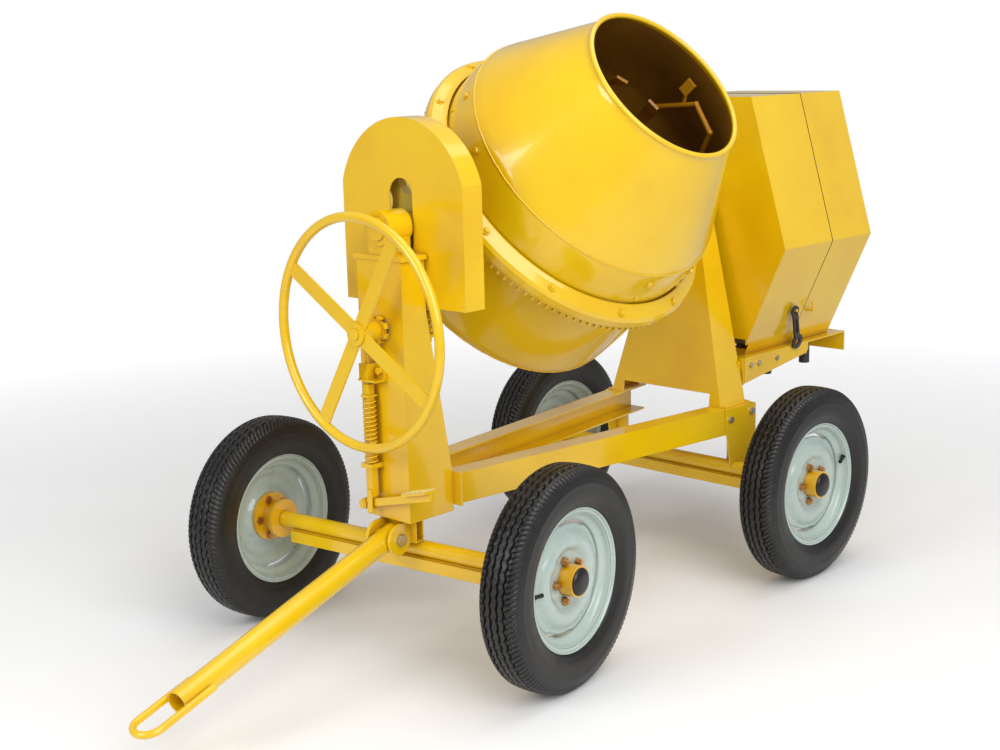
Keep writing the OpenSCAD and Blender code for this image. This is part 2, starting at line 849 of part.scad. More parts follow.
// Cross-section of the engine cover, in Y and Z, inset by t.
function cover_points(t) = [
  [cover_bottom_half - t, cover_bottom_z - (t > 0 ? 1 : 0)], [cover_mid_half - t * 1.1, cover_mid_z],
  [cover_top_half - t * 1.15, cover_top_z - t], [-cover_top_half + t * 1.15, cover_top_z - t],
  [-cover_mid_half + t * 1.1, cover_mid_z], [-cover_bottom_half + t, cover_bottom_z - (t > 0 ? 1 : 0)]];

module cover_prism(x0, x1, t) {
  rotate([90, 0, 90])
    translate([0, 0, x0])
      linear_extrude(x1 - x0)
        polygon(cover_points(t));
}

module front_cover() {
  color(YELLOW)
    difference() {
      union() {
        difference() {
          cover_prism(cover_seam_x + 0.5, cover_front_x, 0);
          cover_prism(cover_seam_x, cover_front_x - cover_t, cover_t);
        }
        latch_peg();
      }
      block([cover_front_x - 20, -180, cover_bottom_z - 1], [cover_front_x + 1, 180, cover_panel_bottom]);
      translate([0, 0, tilt_z]) rod_x(cover_front_x - 20, cover_front_x + 1, 50);
    }
}

// Peg on the cover's lower side that the rubber strap hooks over.
module latch_peg() {
  translate([latch_hook_x, 0, latch_hook_z]) rod_y(220, 244, 5);
}

module rear_cover() {
  color(YELLOW)
    union() {
      difference() {
        cover_prism(cover_rear_x, cover_seam_x, 0);
        cover_prism(cover_rear_x + cover_t, cover_seam_x + 1, cover_t);
        block([cover_rear_x - 1, -400, cover_bottom_z - 1], [cover_seam_x + 1, 400, cover_bottom_z + 0.5]);
      }
      translate([cover_seam_x - 17, 0, 715]) rod_y(215, 246, 4);
      translate([cover_seam_x - 17, 243, 715]) cylinder(r = 4, h = 26);
      for (s = [-1, 1])
        difference() {
          union() {
            block([cover_hinge_x, s > 0 ? 76 : -124, cover_hinge_z - 4],
              [cover_rear_x + 1, s > 0 ? 124 : -76, cover_hinge_z + 8]);
            translate([cover_hinge_x, 0, cover_hinge_z]) rod_y(s > 0 ? 76 : -124, s > 0 ? 124 : -76, 8);
          }
          translate([cover_hinge_x, 0, cover_hinge_z]) rod_y(-200, 200, 4 + fit_gap);
        }
    }
}

// Rubber strap latch: a finger ring at the bottom, a slotted strap and an eye over the cover's peg.
module cover_latch() {
  across = latch_hook_x - latch_ring_x;
  up = latch_hook_z - latch_ring_z;
  reach = sqrt(across * across + up * up);
  color(BLACK)
    translate([latch_ring_x, tray_half + 6.5, latch_ring_z])
      rotate([-13.5, 0, 0])
        rotate([0, atan2(across, up), 0])
          rotate([90, 0, 0])
            translate([0, 0, -7])
              linear_extrude(7)
                difference() {
                  union() {
                    circle(r = 25);
                    translate([-12, 0]) square([24, reach]);
                    translate([0, reach * 1.02]) circle(r = 17);
                  }
                  circle(r = 11);
                  translate([-4.5, 34]) square([9, 58]);
                  translate([0, reach * 1.02]) circle(r = 8);
                }
}

// Two brackets on the post that guide the lock bar, and the cross pin the pedal swings on.
module lock_guide() {
  half = lock_bar_w / 2;
  color(YELLOW)
    difference() {
      union() {
        block([post_front_x, lock_y - 16, 742], [lock_x + 16, lock_y + 16, 782]);
        block([post_front_x, lock_y - 16, 742], [post_front_x + 8, lock_y + 49, 782]);
        block([post_front_x, lock_y - 16, 738], [lock_x + 20, lock_y + 49, 743]);
        translate([0, lock_y + 33, 764]) rod_x(post_front_x + 7, post_front_x + 18, 9);
        block([post_front_x, lock_y - 20, spring_z0 - 12], [lock_x + 20, lock_y + 20, spring_z0]);
        translate([0, pedal_pivot_y, pedal_pivot_z]) {
          rod_x(post_front_x, lock_x - 5.5, 15);
          rod_x(post_front_x, lock_x + 12, pedal_pin_r);
          rod_x(lock_x + 5.5, lock_x + 10, 13);
        }
      }
      translate([lock_x, lock_y, 700]) cylinder(r = lock_pin_r + fit_gap, h = 100);
      block([lock_x - half - 0.5, lock_y - half - 0.5, 500],
        [lock_x + half + 0.5, lock_y + half + 0.5, 600]);
    }
}

module shaft_bushes() {
  color(STEEL)
    translate([0, 0, lower_shaft_z])
      difference() {
        union() {
          rod_x(post_front_x - post_t - 6, post_front_x, 22);
          rod_x(post_front_x, post_front_x + 4, 32);
          rod_x(436, 450, 22);
          rod_x(450, 455, 30);
        }
        rod_x(430, 520, shaft_r + fit_gap);
      }
}

module frame_bolts() {
  color(STEEL) {
    for (y = [-62, 62])
      translate([post_guard_x + 40, y, post_top_z + 14]) hex(11, 9);
    for (s = [-1, 1])
      for (x = [stand_back_top_x + 20, stand_top_x - 20])
        translate([x, s * 52, stand_top_z + stand_t + 12]) hex(8, 8);
    for (side = [-1, 1])
      at_beam(side)
        for (p = [[-1034, 440], [-1128, 452]])
          translate([p[0], 6, p[1]]) rotate([-90, 0, 0]) hex(10, 8);
    for (s = [-1, 1])
      for (x = [-836, -880, -980])
        translate([x, s * tray_half, 578]) rotate([-90 * s, 0, 0]) hex(8, 7);
  }
}

// Yoke and drum

module yoke_path(out) {
  polygon([
    [arm_out, arm_top_s], [arm_out, arm_knee_s], [yoke_low_half, yoke_bottom_s],
    [-yoke_low_half, yoke_bottom_s], [-arm_out, arm_knee_s], [-arm_out, arm_top_s],
    [-arm_in, arm_top_s], [-arm_in, arm_knee_s + 14], [-yoke_low_half + 18, yoke_bottom_s + 32],
    [yoke_low_half - 18, yoke_bottom_s + 32], [arm_in, arm_knee_s + 14], [arm_in, arm_top_s]]);
}

module yoke() {
  color(YELLOW)
    at_drum()
      difference() {
        union() {
          translate([0, arm_w / 2, 0])
            rotate([90, 0, 0])
              linear_extrude(arm_w)
                yoke_path(0);
          rod_x(arm_out - 1, post_front_x + 6 - drum_x, trunnion_r);
          rod_x(stand_back_top_x - 5 - drum_x, -arm_out + 1, rear_trunnion_r);
          translate([0, 0, yoke_bottom_s - 16]) cylinder(r = 46, h = 64);
        }
        rod_x(stand_back_top_x - 20 - drum_x, -arm_in + 10, pinion_shaft_r + fit_gap);
        translate([0, 0, yoke_bottom_s - 20]) cylinder(r = spindle_r + fit_gap, h = 100);
      }
}

module tilt_gear() {
  color(STEEL)
    translate([gear_x0, 0, tilt_z])
      rotate([90, 0, 90])
        difference() {
          linear_extrude(gear_x1 - gear_x0)
            difference() {
              rotate([0, 0, -90]) gear_outline(tilt_teeth, tilt_module, 0.35, 0.4);
              circle(r = trunnion_r + 0.02, $fn = 96);
              for (i = [0 : 5])
                rotate([0, 0, 30 + i * 60]) translate([115, 0]) circle(r = 38);
            }
        }
}

// Fixed guard over the ring gear, held to both yoke arms.
module ring_guard() {
  color(YELLOW)
    at_drum() {
      rotate_extrude($fn = 180)
        polygon([
          [guard_ring_out, guard_ring_s0], [guard_ring_out, 84], [guard_ring_out - 6, 94],
          [guard_ring_out - 18, 100], [drum_r + 18, 106], [drum_r + 10, guard_ring_s1],
          [drum_r + 5, guard_ring_s1], [drum_r + 5, guard_ring_s1 - 3], [drum_r + 15, 103],
          [guard_ring_out - 19, 97], [guard_ring_out - 9, 91], [guard_ring_out - 3, 82],
          [guard_ring_out - 3, guard_ring_s0]]);
      for (s = [-1, 1])
        block([s > 0 ? guard_ring_out - 2 : -arm_in, -24, 68], [s > 0 ? arm_in : -guard_ring_out + 2, 24, 90]);
    }
}

module drum_bowl() {
  t = drum_wall;
  seam_s = -bottom_s + 47;
  color(YELLOW)
    at_drum()
      union() {
        rotate_extrude($fn = 180)
          polygon(concat(
            [[0, -bottom_s], [150, -bottom_s]],
            [[260, -bottom_s + 6], [330, -bottom_s + 16], [372, -bottom_s + 28]],
            [[drum_r - 8, -bottom_s + 40], [drum_r, seam_s + 12], [drum_r, 92]],
            [[drum_r - t, 92], [drum_r - t, seam_s + 14], [drum_r - 12, -bottom_s + 45]],
            [[370, -bottom_s + 34], [329, -bottom_s + 21], [259, -bottom_s + 11]],
            [[150, -bottom_s + t], [0, -bottom_s + t]]));
        translate([0, 0, -bottom_s - 22]) cylinder(r = 95, h = 22.5);
        translate([0, 0, yoke_bottom_s - 24]) cylinder(r = spindle_r, h = 24 - yoke_bottom_s - bottom_s - 20);
      }
}

module drum_cone() {
  t = drum_wall;
  color(YELLOW)
    at_drum()
      union() {
        rotate_extrude($fn = 180)
          polygon([
            [drum_r, 92], [drum_r, 118], [drum_r - 8, shoulder_s - 8], [drum_r - 13, shoulder_s + 6],
            [mouth_r + 3, mouth_s], [mouth_r + 3 - t, mouth_s - 1], [drum_r - 13 - t, shoulder_s + 3],
            [drum_r - 8 - t, shoulder_s - 10], [drum_r - t, 118], [drum_r - t, 92]]);
        rotate_extrude($fn = 180)
          translate([mouth_r, mouth_s]) circle(r = 7, $fn = 32);
      }
}

// Crown gear: a flat ring with teeth that point down towards the drum's bottom.
module ring_gear() {
  color(STEEL)
    at_drum()
      union() {
        difference() {
          translate([0, 0, tooth_root_s]) cylinder(r = ring_out_r, h = 7, $fn = 180);
          translate([0, 0, tooth_root_s - 1]) cylinder(r = drum_r + 0.1, h = 20, $fn = 180);
        }
        translate([0, 0, tooth_tip_s])
          linear_extrude(tooth_root_s - tooth_tip_s + 0.5)
            for (i = [0 : ring_teeth - 1])
              rotate([0, 0, (i + 0.5) * 360 / ring_teeth])
                polygon([
                  [ring_in_r, -3.6], [ring_out_r - 0.5, -4], [ring_out_r - 0.5, 4], [ring_in_r, 3.6]]);
      }
}

// A point in the drum from its radius, its angle and its distance up the axis.
function around(r, a, s) = [r * cos(a), r * sin(a), s];

// Round bar between two points.
module bar_between(p, q, r) {
  d = q - p;
  translate(p)
    rotate([0, atan2(sqrt(d[0] * d[0] + d[1] * d[1]), d[2]), atan2(d[1], d[0])])
      cylinder(r = r, h = norm(d));
}

// Flat arm that follows the drum's wall and curls in at its tip.
module paddle() {
  translate([0, 18, 0])
    rotate([90, 0, 0])
      linear_extrude(36)
        polygon([
          [372, 40], [362, 150], [300, 250], [252, 286], [226, 322], [233, 327], [258, 293],
          [308, 256], [371, 152], [381, 40]]);
  for (s = [70, 104])
    translate([376 - 0.09 * (s - 40), 0, s])
      rotate([0, 90, 0])
        cylinder(r = 9, h = drum_r - drum_wall - 0.4 - 376 + 0.09 * (s - 40));
}

// Mixing paddles: curled arms and bent round bars, three sets round the drum.
module mixing_blades() {
  bar_r = 7;
  route = [around(258, 0, 300), around(236, -21, 425), around(236, -45, 424), around(330, -45, 210),
    around(388, -45, 150)];
  color(YELLOW)
    at_drum()
      for (i = [0 : 2])
        rotate([0, 0, -159 + i * 120]) {
          rotate([0, 0, 28]) paddle();
          paddle();
          for (k = [0 : len(route) - 2]) {
            bar_between(route[k], route[k + 1], bar_r);
            translate(route[k]) sphere(r = bar_r + 1.5, $fn = 32);
          }
          bar_between(around(247, -14, 385), around(232, -9, 430), 6);
          rotate([0, 0, -9])
            translate([224, -15, 418])
              cube([8, 30, 42]);
        }
}

module pinion_shaft() {
  color(STEEL)
    translate([0, 0, tilt_z])
      union() {
        rod_x(pulley_x0 - 12, drum_x - ring_out_r + 1, pinion_shaft_r);
        rotate([90, 0, 90])
          translate([0, 0, drum_x - ring_out_r])
            linear_extrude(ring_out_r - ring_in_r - 1)
              rotate([0, 0, 90 - drum_tilt]) gear_outline(pinion_teeth, ring_module, 2.6, 2);
      }
}

// Handwheel and its locking gear

module handwheel() {
  rim_mid = (handwheel_d - handwheel_tube) / 2;
  color(YELLOW)
    translate([handwheel_x, 0, lower_shaft_z])
      rotate([90, 0, 90])
        difference() {
          union() {
            rotate_extrude($fn = 128)
              translate([rim_mid, 0]) circle(r = handwheel_tube / 2, $fn = 48);
            for (i = [0 : 3])
              rotate([0, 0, spoke_deg + i * 90])
                translate([20, -20, -3]) cube([rim_mid - 24, 40, 6]);
            translate([0, 0, -24]) cylinder(r = 30, h = 34);
          }
          translate([0, 0, -40]) cylinder(r = shaft_r, h = 80);
        }
}

module handwheel_shaft() {
  color(STEEL)
    translate([0, 0, lower_shaft_z])
      union() {
        rod_x(gear_x0 - 4, handwheel_x + 16, shaft_r);
        rotate([90, 0, 90])
          translate([0, 0, gear_x0])
            linear_extrude(gear_x1 - gear_x0)
              rotate([0, 0, 90 + 180 / hand_teeth]) gear_outline(hand_teeth, tilt_module, 0.35, 0.4);
        rod_x(lock_disc_x1, handwheel_x - 24, 24);
        difference() {
          rod_x(lock_disc_x0, lock_disc_x1, lock_disc_r);
          for (i = [0 : NOTCHES - 1])
            rotate([i * 360 / NOTCHES, 0, 0])
              block([lock_disc_x0 - 1, -6, -lock_disc_r - 1], [lock_disc_x1 + 1, 6, -lock_disc_r + 8]);
        }
      }
}

// Square bar with a round pin on top, a tongue for the disc's notches and a hook under the pedal.
module lock_bar() {
  half = lock_bar_w / 2;
  plate_z = lower_shaft_z - lock_disc_r - 26;
  color(YELLOW)
    union() {
      block([lock_x - half, lock_y - half, lock_bar_bottom_z], [lock_x + half, lock_y + half, 728]);
      translate([lock_x, lock_y, 727]) cylinder(r = lock_pin_r, h = plate_z - 725);
      block([lock_disc_x0 + 3, lock_y - 7, plate_z], [lock_x + 7, 6, plate_z + 8]);
      block([lock_disc_x0 + 3, -4.5, plate_z + 7], [lock_disc_x1 - 3, 4.5, lower_shaft_z - lock_disc_r - 1]);
      block([lock_x - 16, lock_y - 14, spring_z1 + 0.5], [lock_x + 16, lock_y + 14, spring_z1 + 6]);
      block([lock_x + half, lock_y - 8, lock_hook_z - 7], [lock_x + half + 4, lock_y + 8, 450]);
      translate([0, lock_y, lock_hook_z]) rod_x(lock_x - 7, lock_x + half + 1, 4);
    }
}

// Coil spring, swept as a chain of short cylinders.
module lock_spring() {
  turns = 9;
  per_turn = 12;
  steps = turns * per_turn;
  z0 = spring_z0 + spring_wire / 2 + 0.2;
  z1 = spring_z1 - spring_wire / 2 - 0.2;
  color(STEEL)
    translate([lock_x, lock_y, 0])
      polyhedron(
        points = [for (i = [0 : steps]) for (k = [0 : 7])
          let (a = i * 360 / per_turn, b = k * 45, z = z0 + (z1 - z0) * i / steps)
            [(spring_r + spring_wire / 2 * cos(b)) * cos(a), (spring_r + spring_wire / 2 * cos(b)) * sin(a),
              z + spring_wire / 2 * sin(b)]],
        faces = concat(
          [[for (k = [0 : 7]) k]],
          [for (i = [0 : steps - 1]) for (k = [0 : 7])
            [i * 8 + k, (i + 1) * 8 + k, (i + 1) * 8 + (k + 1) % 8, i * 8 + (k + 1) % 8]],
          [[for (k = [7 : -1 : 0]) steps * 8 + k]]));
}

// Foot lever that pulls the lock bar down, with a ribbed tread.
module lock_pedal() {
  reach = 258;
  color(YELLOW)
    translate([0, pedal_pivot_y, pedal_pivot_z])
      rotate([pedal_rise, 0, 0])
        union() {
          difference() {
            union() {
              block([lock_x - 5, 0, -10], [lock_x + 5, reach, 10]);
              rod_x(lock_x - 5, lock_x + 5, 14);
            }
            rod_x(lock_x - 20, lock_x + 20, pedal_pin_r + fit_gap);
          }
          block([lock_x - 20, reach - 86, 10], [lock_x + 22, reach, 15]);
          for (i = [0 : 7])
            block([lock_x - 20, reach - 84 + i * 11, 14.5], [lock_x + 22, reach - 78 + i * 11, 18]);
        }
}

front_post();
front_bearing();
left_beam();
right_beam();
rear_stand();
rear_gussets();
rear_axle();
rear_bearing();
gear_guard();
platform();
rubber_mounts();
engine();
front_cover();
lock_guide();
shaft_bushes();
frame_bolts();
kingpin();
drive_belt();
front_axle();
steering_head();
drawbar_pin();
drawbar_tube();
towing_eye();
tyre("front_left");  // tyre_front_left
rim("front_left");  // rim_front_left
hub("front_left");  // hub_front_left
hub_cap("front_left");  // hub_cap_front_left
wheel_nuts("front_left");  // wheel_nuts_front_left
tyre("front_right");  // tyre_front_right
rim("front_right");  // rim_front_right
hub("front_right");  // hub_front_right
hub_cap("front_right");  // hub_cap_front_right
wheel_nuts("front_right");  // wheel_nuts_front_right
tyre("rear_left");  // tyre_rear_left
rim("rear_left");  // rim_rear_left
hub("rear_left");  // hub_rear_left
hub_cap("rear_left");  // hub_cap_rear_left
wheel_nuts("rear_left");  // wheel_nuts_rear_left
tyre("rear_right");  // tyre_rear_right
rim("rear_right");  // rim_rear_right
hub("rear_right");  // hub_rear_right
hub_cap("rear_right");  // hub_cap_rear_right
wheel_nuts("rear_right");  // wheel_nuts_rear_right
yoke();
tilt_gear();
ring_guard();
drum_bowl();
drum_cone();
ring_gear();
mixing_blades();
pinion_shaft();
drum_pulley();
handwheel();
handwheel_shaft();
lock_bar();
lock_pedal();
lock_spring();
rear_cover();
cover_latch();
engine_pulley();
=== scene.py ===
import json
import math

import bmesh
import bpy
import numpy as np
from mathutils import Matrix, Vector


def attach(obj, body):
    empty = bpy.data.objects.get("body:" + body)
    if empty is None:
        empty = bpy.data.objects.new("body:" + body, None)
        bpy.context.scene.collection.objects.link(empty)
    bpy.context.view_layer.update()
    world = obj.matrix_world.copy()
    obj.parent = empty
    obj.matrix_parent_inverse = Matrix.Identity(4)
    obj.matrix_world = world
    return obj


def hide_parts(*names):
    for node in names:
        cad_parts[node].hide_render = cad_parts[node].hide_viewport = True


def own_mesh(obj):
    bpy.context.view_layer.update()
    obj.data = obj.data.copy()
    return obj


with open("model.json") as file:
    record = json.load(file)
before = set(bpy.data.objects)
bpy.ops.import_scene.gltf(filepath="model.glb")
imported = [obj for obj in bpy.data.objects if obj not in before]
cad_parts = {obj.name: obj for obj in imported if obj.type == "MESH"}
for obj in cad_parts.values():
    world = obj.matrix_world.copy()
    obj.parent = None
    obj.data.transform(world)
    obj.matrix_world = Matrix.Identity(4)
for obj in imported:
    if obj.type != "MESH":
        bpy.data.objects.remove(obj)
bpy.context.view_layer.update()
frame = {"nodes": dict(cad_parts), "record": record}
nodes = frame["nodes"]
record = frame["record"]
slot_of = {s["node"]: s["material_slot"] for s in record["subparts"]}

# ---------------------------------------------------------------- materials


class Mat:
    """A material's node tree with short helpers."""

    def __init__(self, name):
        self.m = bpy.data.materials.new(name)
        self.m.use_nodes = True
        self.t = self.m.node_tree
        self.t.nodes.clear()
        self.out = self.t.nodes.new("ShaderNodeOutputMaterial")
        self.b = self.t.nodes.new("ShaderNodeBsdfPrincipled")
        self.t.links.new(self.b.outputs[0], self.out.inputs[0])
        self.co = self.t.nodes.new("ShaderNodeTexCoord").outputs["Object"]

    def node(self, kind, **values):
        n = self.t.nodes.new(kind)
        for k, v in values.items():
            if k in n.inputs:
                n.inputs[k].default_value = v
            else:
                setattr(n, k, v)
        return n

    def link(self, a, b):
        self.t.links.new(a, b)

    def noise(self, scale, detail=4.0, rough=0.55):
        n = self.node("ShaderNodeTexNoise", Scale=scale, Detail=detail, Roughness=rough)
        self.link(self.co, n.inputs["Vector"])
        return n.outputs["Fac"]

    def ramp(self, fac, stops):
        r = self.node("ShaderNodeValToRGB")
        e = r.color_ramp.elements
        while len(e) < len(stops):
            e.new(0.5)
        for k, (pos, col) in enumerate(stops):
            e[k].position = pos
            e[k].color = (*col, 1) if len(col) == 3 else col
        self.link(fac, r.inputs[0])
        return r.outputs[0]

    def rough(self, fac, lo, hi):
        m = self.node("ShaderNodeMapRange")
        m.inputs["To Min"].default_value = lo
        m.inputs["To Max"].default_value = hi
        self.link(fac, m.inputs["Value"])
        self.link(m.outputs[0], self.b.inputs["Roughness"])

    def bump(self, height, strength, distance, bevel=0.0):
        b = self.node("ShaderNodeBump")
        b.inputs["Strength"].default_value = strength
        b.inputs["Distance"].default_value = distance
        self.link(height, b.inputs["Height"])
        if bevel:
            v = self.node("ShaderNodeBevel", samples=4)
            v.inputs["Radius"].default_value = bevel
            self.link(v.outputs[0], b.inputs["Normal"])
        self.link(b.outputs[0], self.b.inputs["Normal"])

    def mix(self, fac, a, b):
        m = self.node("ShaderNodeMix", data_type="RGBA")
        self.link(fac, m.inputs[0])
        for k, v in ((6, a), (7, b)):
            if isinstance(v, tuple):
                m.inputs[k].default_value = (*v, 1)
            else:
                self.link(v, m.inputs[k])
        return m.outputs[2]


def paint(name, dark, mid, light, bevel, rough=(0.18, 0.28), coat=0.7, grime_and_crease_shade=(0.34, 0.12, 0.01)):
    """Gloss enamel: slight mottling, orange peel, fine dust specks, and painted shade that darkens the
    creases by ambient occlusion.
    """
    m = Mat(name)
    base = m.ramp(m.noise(3.2, 5.0), [(0.3, dark), (0.5, mid), (0.72, light)])
    specks = m.ramp(m.noise(420.0, 2.0, 0.6), [(0.70, (0, 0, 0)), (0.80, (1, 1, 1))])
    patches = m.ramp(m.noise(9.0, 6.0, 0.65), [(0.55, (0, 0, 0)), (0.80, (0.12, 0.12, 0.12))])
    both = m.node("ShaderNodeMath", operation="MULTIPLY")
    m.link(specks, both.inputs[0])
    m.link(patches, both.inputs[1])
    # Painted shade: ambient occlusion darkens creases and recesses towards the grime colour, as shade would.
    ao = m.node("ShaderNodeAmbientOcclusion", samples=4)
    ao.inputs["Distance"].default_value = 0.03
    painted_crease_shade = m.ramp(ao.outputs["AO"], [(0.25, (0.55, 0.55, 0.55)), (0.75, (0, 0, 0))])
    col = m.mix(both.outputs[0], base, grime_and_crease_shade)
    col = m.mix(painted_crease_shade, col, grime_and_crease_shade)
    m.link(col, m.b.inputs["Base Color"])
    m.rough(m.noise(14.0, 4.0), *rough)
    m.b.inputs["Coat Weight"].default_value = coat
    m.b.inputs["Coat Roughness"].default_value = 0.08
    m.bump(m.noise(120.0, 2.0), 0.08, 0.0006, bevel)
    return m.m


def plain(name, dark, light, metal, rough, scale, bump, bevel):
    """Metal, rubber or plastic: two tones of noise, roughness variation and a fine bump."""
    m = Mat(name)
    m.link(m.ramp(m.noise(scale, 5.0, 0.6), [(0.32, dark), (0.68, light)]), m.b.inputs["Base Color"])
    m.b.inputs["Metallic"].default_value = metal
    m.rough(m.noise(scale * 0.4, 3.0), *rough)
    m.bump(m.noise(scale * 3.0, 3.0, 0.6), 0.25, bump, bevel)
    return m.m


BODY_TONES = ((0.80, 0.47, 0.001), (0.86, 0.54, 0.002), (0.89, 0.59, 0.003))
YELLOW = paint("yellow_enamel", *BODY_TONES, bevel=0.0016)
THIN_YELLOW = paint("yellow_enamel_small", *BODY_TONES, bevel=0.0007)
HUB_YELLOW = paint("hub_enamel", (0.72, 0.36, 0.002), (0.80, 0.43, 0.003), (0.85, 0.49, 0.004), bevel=0.0012)
# The drum's inside: the yellow paint darkened to brown as painted shade.
SHADED_INSIDE = paint("drum_inside_painted_shade", (0.20, 0.085, 0.006), (0.32, 0.15, 0.010), (0.44, 0.22, 0.015), bevel=0.0,
               rough=(0.45, 0.7), coat=0.0, grime_and_crease_shade=(0.10, 0.05, 0.02))
MINT = paint("rim_enamel", (0.38, 0.47, 0.44), (0.43, 0.52, 0.48), (0.48, 0.57, 0.53), bevel=0.0008,
             rough=(0.20, 0.34), coat=0.6, grime_and_crease_shade=(0.16, 0.17, 0.15))
# The mixing blades: the yellow paint darkened to orange-brown as painted shade inside the drum.
SHADED_BLADE = paint("blade_enamel_painted_shade", (0.42, 0.17, 0.003), (0.52, 0.23, 0.004), (0.62, 0.30, 0.006), bevel=0.001,
              rough=(0.35, 0.55), coat=0.1)
GEAR = paint("gear_paint", (0.30, 0.20, 0.015), (0.44, 0.32, 0.03), (0.58, 0.44, 0.05), bevel=0.0008,
             rough=(0.35, 0.5), coat=0.2, grime_and_crease_shade=(0.06, 0.05, 0.03))
TREAD = paint("worn_tread", (0.70, 0.52, 0.12), (0.80, 0.66, 0.25), (0.86, 0.76, 0.42), bevel=0.0006,
              rough=(0.3, 0.5), coat=0.2)
# name, dark tone, light tone, metallic, roughness, noise scale, bump distance, bevel
STEEL = plain("zinc", (0.42, 0.41, 0.39), (0.68, 0.66, 0.62), 1.0, (0.28, 0.45), 60.0, 0.0003, 0.0006)
BRASSY = plain("nut_plating", (0.42, 0.20, 0.08), (0.72, 0.42, 0.18), 1.0, (0.28, 0.5), 90.0, 0.0003, 0.0005)
IRON = plain("gear_iron", (0.035, 0.03, 0.025), (0.16, 0.14, 0.12), 0.8, (0.35, 0.6), 70.0, 0.0006, 0.0005)
TYRE = plain("tyre_rubber", (0.0045, 0.004, 0.0038), (0.012, 0.0108, 0.010), 0.0, (0.30, 0.48), 40.0,
             0.0005, 0.0)
CAP = plain("cap_plastic", (0.004, 0.004, 0.004), (0.010, 0.010, 0.011), 0.0, (0.22, 0.38), 50.0,
            0.0002, 0.001)
RUBBER = plain("strap_rubber", (0.022, 0.018, 0.019), (0.050, 0.042, 0.043), 0.0, (0.45, 0.65), 80.0,
               0.0004, 0.0012)
ENGINE = plain("engine_metal", (0.10, 0.10, 0.10), (0.30, 0.30, 0.29), 0.7, (0.4, 0.6), 50.0, 0.0008, 0.001)
# Near-black, used only as painted shade in the gap of the cover seam.
SEAM_SHADE = plain("seam_painted_shade", (0.010, 0.007, 0.003), (0.03, 0.02, 0.008), 0.0, (0.7, 0.9), 50.0, 0.0002, 0.0)

BY_SLOT = {"yellow_paint": YELLOW, "rim_paint": MINT, "tyre_rubber": TYRE, "cap_plastic": CAP,
           "zinc_steel": STEEL, "nut_plate": BRASSY, "gear_iron": IRON, "strap_rubber": RUBBER,
           "engine_metal": ENGINE}
SMALL = {"lock_guide", "lock_bar", "lock_pedal", "handwheel", "handwheel_shaft", "mixing_blades",
         "towing_eye", "ring_gear", "ring_guard"}

for name, o in nodes.items():
    m = BY_SLOT[slot_of[name]]
    if name.startswith("hub_") and "cap" not in name:
        m = HUB_YELLOW
    elif name in SMALL:
        m = THIN_YELLOW
    m = {"mixing_blades": SHADED_BLADE, "tilt_gear": GEAR}.get(name, m)
    o.data.materials.clear()
    o.data.materials.append(m)

# ---------------------------------------------------------------- mesh helpers

MM = 0.001


def rot(axis, deg):
    return np.array(Matrix.Rotation(math.radians(deg), 4, axis))


def shift(x, y, z):
    return np.array(Matrix.Translation((x * MM, y * MM, z * MM)))


def mesh(name, verts, faces, mat, body, M=None, replaces=(), slot=None, sharp=35.0):
    """A piece from points in millimetres, placed by M (metres) and riding on a CAD body."""
    v = np.asarray(verts, float) * MM
    if M is not None:
        v = v @ M[:3, :3].T + M[:3, 3]
    d = bpy.data.meshes.new(name)
    d.from_pydata(v.tolist(), [], [list(map(int, f)) for f in faces])
    d.validate()
    d.update()
    if sharp:
        d.shade_smooth()
        d.set_sharp_from_angle(angle=math.radians(sharp))
    d.materials.append(mat)
    o = bpy.data.objects.new(name, d)
    bpy.context.scene.collection.objects.link(o)
    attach(o, body)
    if replaces:
        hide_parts(*replaces)
    return o


def weld(d):
    """Joins the points that a profile's ends leave on the axis."""
    bm = bmesh.new()
    bm.from_mesh(d)
    bmesh.ops.remove_doubles(bm, verts=bm.verts, dist=1e-7)
    bm.to_mesh(d)
    bm.free()


def slab(lo, hi, c=1.2):
    """Points and faces of a box with chamfered edges."""
    bm = bmesh.new()
    for k in range(8):
        sign = [1 if k >> b & 1 else -1 for b in range(3)]
        corner = [hi[b] if sign[b] > 0 else lo[b] for b in range(3)]
        for b in range(3):
            bm.verts.new([corner[q] if q == b else corner[q] - sign[q] * c for q in range(3)])
    bmesh.ops.convex_hull(bm, input=bm.verts)
    bmesh.ops.dissolve_limit(bm, angle_limit=0.02, verts=bm.verts, edges=bm.edges)
    bm.verts.index_update()
    v = [tuple(q.co) for q in bm.verts]
    f = [[q.index for q in g.verts] for g in bm.faces]
    bm.free()
    return v, f


def slabs(name, boxes, mat, body, M=None, c=1.2, **kw):
    V, F = [], []
    for lo, hi in boxes:
        v, f = slab(lo, hi, c)
        F += [[len(V) + q for q in g] for g in f]
        V += v
    return mesh(name, V, F, mat, body, M, **kw)


def grid_faces(n, m, wrap_n, wrap_m):
    """Quads of an n by m grid of points, n around."""
    i, j = np.meshgrid(np.arange(n if wrap_n else n - 1), np.arange(m if wrap_m else m - 1), indexing="ij")
    i, j = i.ravel(), j.ravel()
    i2, j2 = (i + 1) % n, (j + 1) % m
    return np.stack([i * m + j, i2 * m + j, i2 * m + j2, i * m + j2], 1)


def spin(profile, n):
    """Points of a profile of (r, z) turned round Z."""
    p = np.asarray(profile, float)
    a = np.linspace(0, 2 * math.pi, n, endpoint=False)
    x = np.cos(a)[:, None] * p[None, :, 0]
    y = np.sin(a)[:, None] * p[None, :, 0]
    z = np.repeat(p[None, :, 1], n, 0)
    return np.stack([x, y, z], -1).reshape(-1, 3)


def smooth(points, times=2):
    """Corner-cutting of an open line, ends kept."""
    p = [np.array(q, float) for q in points]
    for _ in range(times):
        q = [p[0]]
        for a, b in zip(p[:-1], p[1:]):
            q += [a * 0.75 + b * 0.25, a * 0.25 + b * 0.75]
        q.append(p[-1])
        p = q
    return np.array(p)


